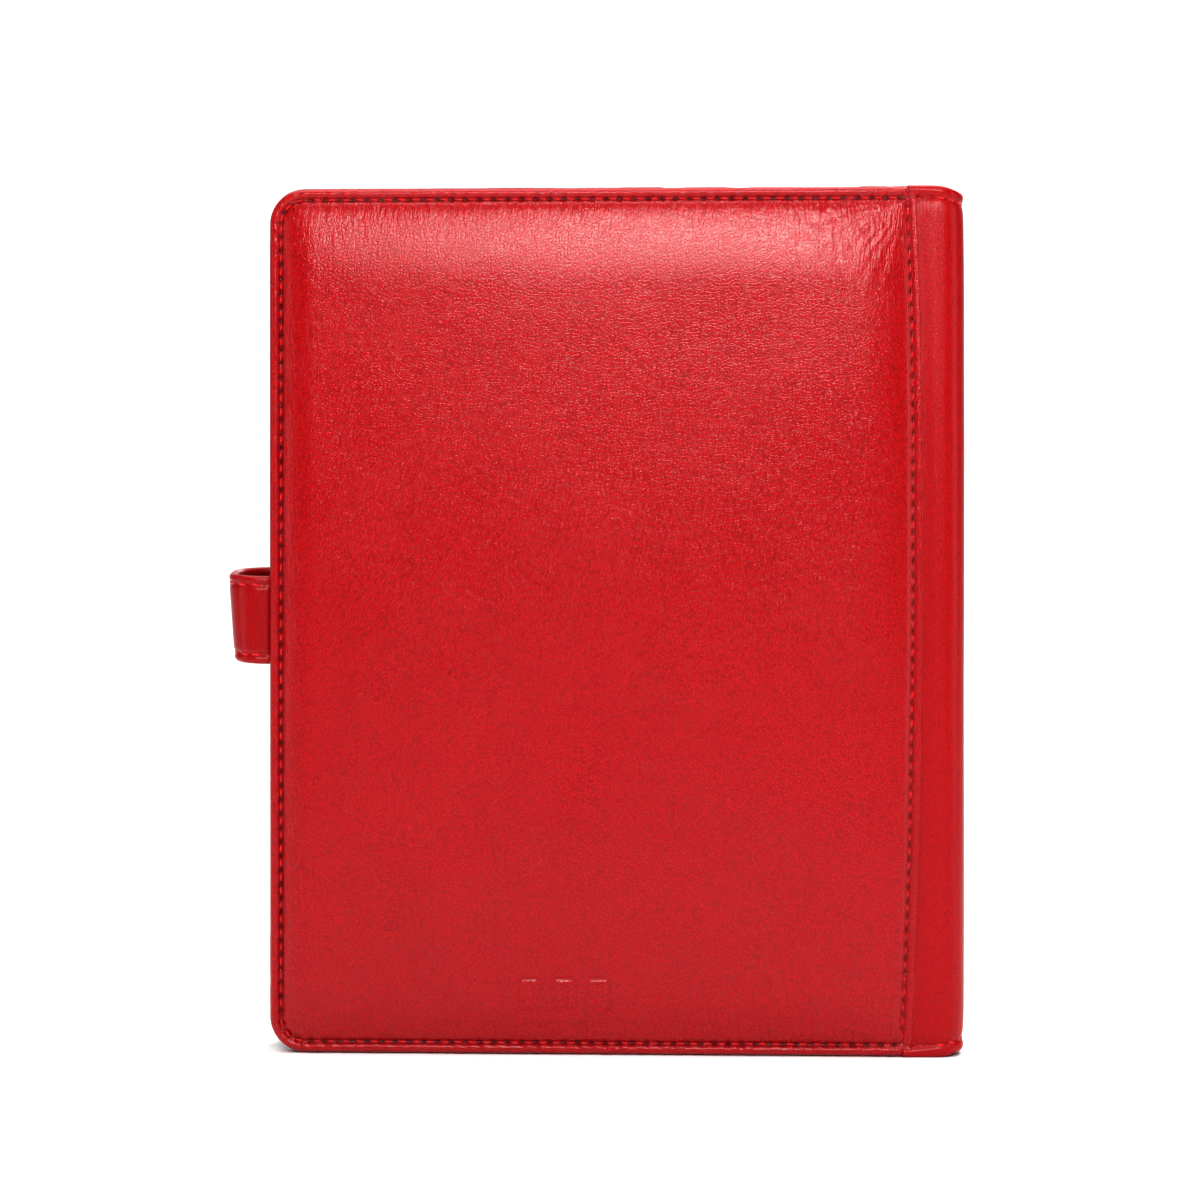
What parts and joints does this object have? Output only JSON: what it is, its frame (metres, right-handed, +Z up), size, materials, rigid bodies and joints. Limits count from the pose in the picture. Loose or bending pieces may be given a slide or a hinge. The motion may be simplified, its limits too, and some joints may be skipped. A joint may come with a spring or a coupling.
{
  "type": "trading card binder",
  "caption": "Padded leatherette portfolio binder for trading cards, with a sewn snap strap, hinged covers and clear pocket pages that fan open.",
  "frame": {"origin": "middle of the footprint, at the height of the lower edges that it stands on", "axes": "+Z up along the spine, spine on +X, strap on -X, back cover towards -Y, front cover towards +Y"},
  "size_m": [0.1838, 0.0328, 0.215],
  "materials": {
    "cover_leatherette": "red grained leatherette, satin, padded",
    "spine_leatherette": "red grained leatherette, satin",
    "strap_leatherette": "red grained leatherette strap, satin",
    "thread": "bright red polyester thread",
    "foam": "closed-cell foam sheet",
    "board": "grey binder's board",
    "lining": "black lining fabric",
    "binding_strip": "black binding tape",
    "pocket_page": "clear film over a black backing sheet",
    "snap_metal": "nickel-plated snap button"
  },
  "bodies": {
    "back_cover": {"back_cover_skin": "cover_leatherette", "back_cover_padding": "foam", "back_cover_board": "board", "back_cover_lining": "lining", "back_cover_thread": "thread", "back_seam_thread": "thread", "back_hinge_leather": "spine_leatherette", "page_tabs": "binding_strip", "page_binding": "binding_strip", "binding_thread": "thread", "strap_base": "strap_leatherette", "strap_base_thread": "thread"},
    "strap_tip": {"strap_tip": "strap_leatherette", "strap_tip_thread": "thread", "snap_cap": "snap_metal", "snap_socket": "snap_metal"},
    "spine": {"spine_skin": "spine_leatherette", "spine_board": "board", "spine_lining": "lining", "spine_thread": "thread"},
    "front_cover": {"front_cover_skin": "cover_leatherette", "front_cover_padding": "foam", "front_cover_board": "board", "front_cover_lining": "lining", "front_cover_thread": "thread", "front_seam_thread": "thread", "front_hinge_leather": "spine_leatherette", "snap_stud": "snap_metal", "snap_post": "snap_metal"},
    "page_01": {"page_01": "pocket_page"},
    "page_02": {"page_02": "pocket_page"},
    "page_03": {"page_03": "pocket_page"},
    "page_04": {"page_04": "pocket_page"},
    "page_05": {"page_05": "pocket_page"},
    "page_06": {"page_06": "pocket_page"},
    "page_07": {"page_07": "pocket_page"},
    "page_08": {"page_08": "pocket_page"},
    "page_09": {"page_09": "pocket_page"},
    "page_10": {"page_10": "pocket_page"},
    "page_11": {"page_11": "pocket_page"},
    "page_12": {"page_12": "pocket_page"},
    "page_13": {"page_13": "pocket_page"},
    "page_14": {"page_14": "pocket_page"},
    "page_15": {"page_15": "pocket_page"},
    "page_16": {"page_16": "pocket_page"},
    "page_17": {"page_17": "pocket_page"},
    "page_18": {"page_18": "pocket_page"},
    "page_19": {"page_19": "pocket_page"},
    "page_20": {"page_20": "pocket_page"}
  },
  "joints": [
    {"name": "spine_hinge", "type": "hinge", "parent": "back_cover", "child": "spine", "pos_m": [0.09033, -0.01476, 0.1075], "axis": [0, 0, -1], "range_deg": [0, 90]},
    {"name": "front_cover_hinge", "type": "hinge", "parent": "spine", "child": "front_cover", "pos_m": [0.09033, 0.01401, 0.1075], "axis": [0, 0, -1], "range_deg": [0, 180]},
    {"name": "strap_hinge", "type": "hinge", "parent": "back_cover", "child": "strap_tip", "pos_m": [-0.09095, 0.00485, 0.1095], "axis": [0, 0, 1], "range_deg": [0, 120]},
    {"name": "page_01_hinge", "type": "hinge", "parent": "back_cover", "child": "page_01", "pos_m": [0.07865, -0.00845, 0.1075], "axis": [0, 0, -1], "range_deg": [0, 3.41]},
    {"name": "page_02_hinge", "type": "hinge", "parent": "back_cover", "child": "page_02", "pos_m": [0.07865, -0.0076, 0.1075], "axis": [0, 0, -1], "range_deg": [0, 6.81]},
    {"name": "page_03_hinge", "type": "hinge", "parent": "back_cover", "child": "page_03", "pos_m": [0.07865, -0.00675, 0.1075], "axis": [0, 0, -1], "range_deg": [0, 10.21]},
    {"name": "page_04_hinge", "type": "hinge", "parent": "back_cover", "child": "page_04", "pos_m": [0.07865, -0.0059, 0.1075], "axis": [0, 0, -1], "range_deg": [0, 13.61]},
    {"name": "page_05_hinge", "type": "hinge", "parent": "back_cover", "child": "page_05", "pos_m": [0.07865, -0.00505, 0.1075], "axis": [0, 0, -1], "range_deg": [0, 17.01]},
    {"name": "page_06_hinge", "type": "hinge", "parent": "back_cover", "child": "page_06", "pos_m": [0.07865, -0.0042, 0.1075], "axis": [0, 0, -1], "range_deg": [0, 20.41]},
    {"name": "page_07_hinge", "type": "hinge", "parent": "back_cover", "child": "page_07", "pos_m": [0.07865, -0.00335, 0.1075], "axis": [0, 0, -1], "range_deg": [0, 23.81]},
    {"name": "page_08_hinge", "type": "hinge", "parent": "back_cover", "child": "page_08", "pos_m": [0.07865, -0.0025, 0.1075], "axis": [0, 0, -1], "range_deg": [0, 27.21]},
    {"name": "page_09_hinge", "type": "hinge", "parent": "back_cover", "child": "page_09", "pos_m": [0.07865, -0.00165, 0.1075], "axis": [0, 0, -1], "range_deg": [0, 30.61]},
    {"name": "page_10_hinge", "type": "hinge", "parent": "back_cover", "child": "page_10", "pos_m": [0.07865, -0.0008, 0.1075], "axis": [0, 0, -1], "range_deg": [0, 34.01]},
    {"name": "page_11_hinge", "type": "hinge", "parent": "back_cover", "child": "page_11", "pos_m": [0.07865, 0.00005, 0.1075], "axis": [0, 0, -1], "range_deg": [0, 37.41]},
    {"name": "page_12_hinge", "type": "hinge", "parent": "back_cover", "child": "page_12", "pos_m": [0.07865, 0.0009, 0.1075], "axis": [0, 0, -1], "range_deg": [0, 40.81]},
    {"name": "page_13_hinge", "type": "hinge", "parent": "back_cover", "child": "page_13", "pos_m": [0.07865, 0.00175, 0.1075], "axis": [0, 0, -1], "range_deg": [0, 44.21]},
    {"name": "page_14_hinge", "type": "hinge", "parent": "back_cover", "child": "page_14", "pos_m": [0.07865, 0.0026, 0.1075], "axis": [0, 0, -1], "range_deg": [0, 47.61]},
    {"name": "page_15_hinge", "type": "hinge", "parent": "back_cover", "child": "page_15", "pos_m": [0.07865, 0.00345, 0.1075], "axis": [0, 0, -1], "range_deg": [0, 51.01]},
    {"name": "page_16_hinge", "type": "hinge", "parent": "back_cover", "child": "page_16", "pos_m": [0.07865, 0.0043, 0.1075], "axis": [0, 0, -1], "range_deg": [0, 54.41]},
    {"name": "page_17_hinge", "type": "hinge", "parent": "back_cover", "child": "page_17", "pos_m": [0.07865, 0.00515, 0.1075], "axis": [0, 0, -1], "range_deg": [0, 57.81]},
    {"name": "page_18_hinge", "type": "hinge", "parent": "back_cover", "child": "page_18", "pos_m": [0.07865, 0.006, 0.1075], "axis": [0, 0, -1], "range_deg": [0, 61.21]},
    {"name": "page_19_hinge", "type": "hinge", "parent": "back_cover", "child": "page_19", "pos_m": [0.07865, 0.00685, 0.1075], "axis": [0, 0, -1], "range_deg": [0, 64.61]},
    {"name": "page_20_hinge", "type": "hinge", "parent": "back_cover", "child": "page_20", "pos_m": [0.07865, 0.0077, 0.1075], "axis": [0, 0, -1], "range_deg": [0, 68.01]}
  ],
  "couplings": [
    {"joint": "page_01_hinge", "follows": "front_cover_hinge", "ratio": 0.018888},
    {"joint": "page_02_hinge", "follows": "front_cover_hinge", "ratio": 0.037777},
    {"joint": "page_03_hinge", "follows": "front_cover_hinge", "ratio": 0.056666},
    {"joint": "page_04_hinge", "follows": "front_cover_hinge", "ratio": 0.075555},
    {"joint": "page_05_hinge", "follows": "front_cover_hinge", "ratio": 0.094444},
    {"joint": "page_06_hinge", "follows": "front_cover_hinge", "ratio": 0.11333},
    {"joint": "page_07_hinge", "follows": "front_cover_hinge", "ratio": 0.13222},
    {"joint": "page_08_hinge", "follows": "front_cover_hinge", "ratio": 0.15111},
    {"joint": "page_09_hinge", "follows": "front_cover_hinge", "ratio": 0.17},
    {"joint": "page_10_hinge", "follows": "front_cover_hinge", "ratio": 0.18889},
    {"joint": "page_11_hinge", "follows": "front_cover_hinge", "ratio": 0.20778},
    {"joint": "page_12_hinge", "follows": "front_cover_hinge", "ratio": 0.22667},
    {"joint": "page_13_hinge", "follows": "front_cover_hinge", "ratio": 0.24555},
    {"joint": "page_14_hinge", "follows": "front_cover_hinge", "ratio": 0.26444},
    {"joint": "page_15_hinge", "follows": "front_cover_hinge", "ratio": 0.28333},
    {"joint": "page_16_hinge", "follows": "front_cover_hinge", "ratio": 0.30222},
    {"joint": "page_17_hinge", "follows": "front_cover_hinge", "ratio": 0.32111},
    {"joint": "page_18_hinge", "follows": "front_cover_hinge", "ratio": 0.34},
    {"joint": "page_19_hinge", "follows": "front_cover_hinge", "ratio": 0.35889},
    {"joint": "page_20_hinge", "follows": "front_cover_hinge", "ratio": 0.37778}
  ]
}
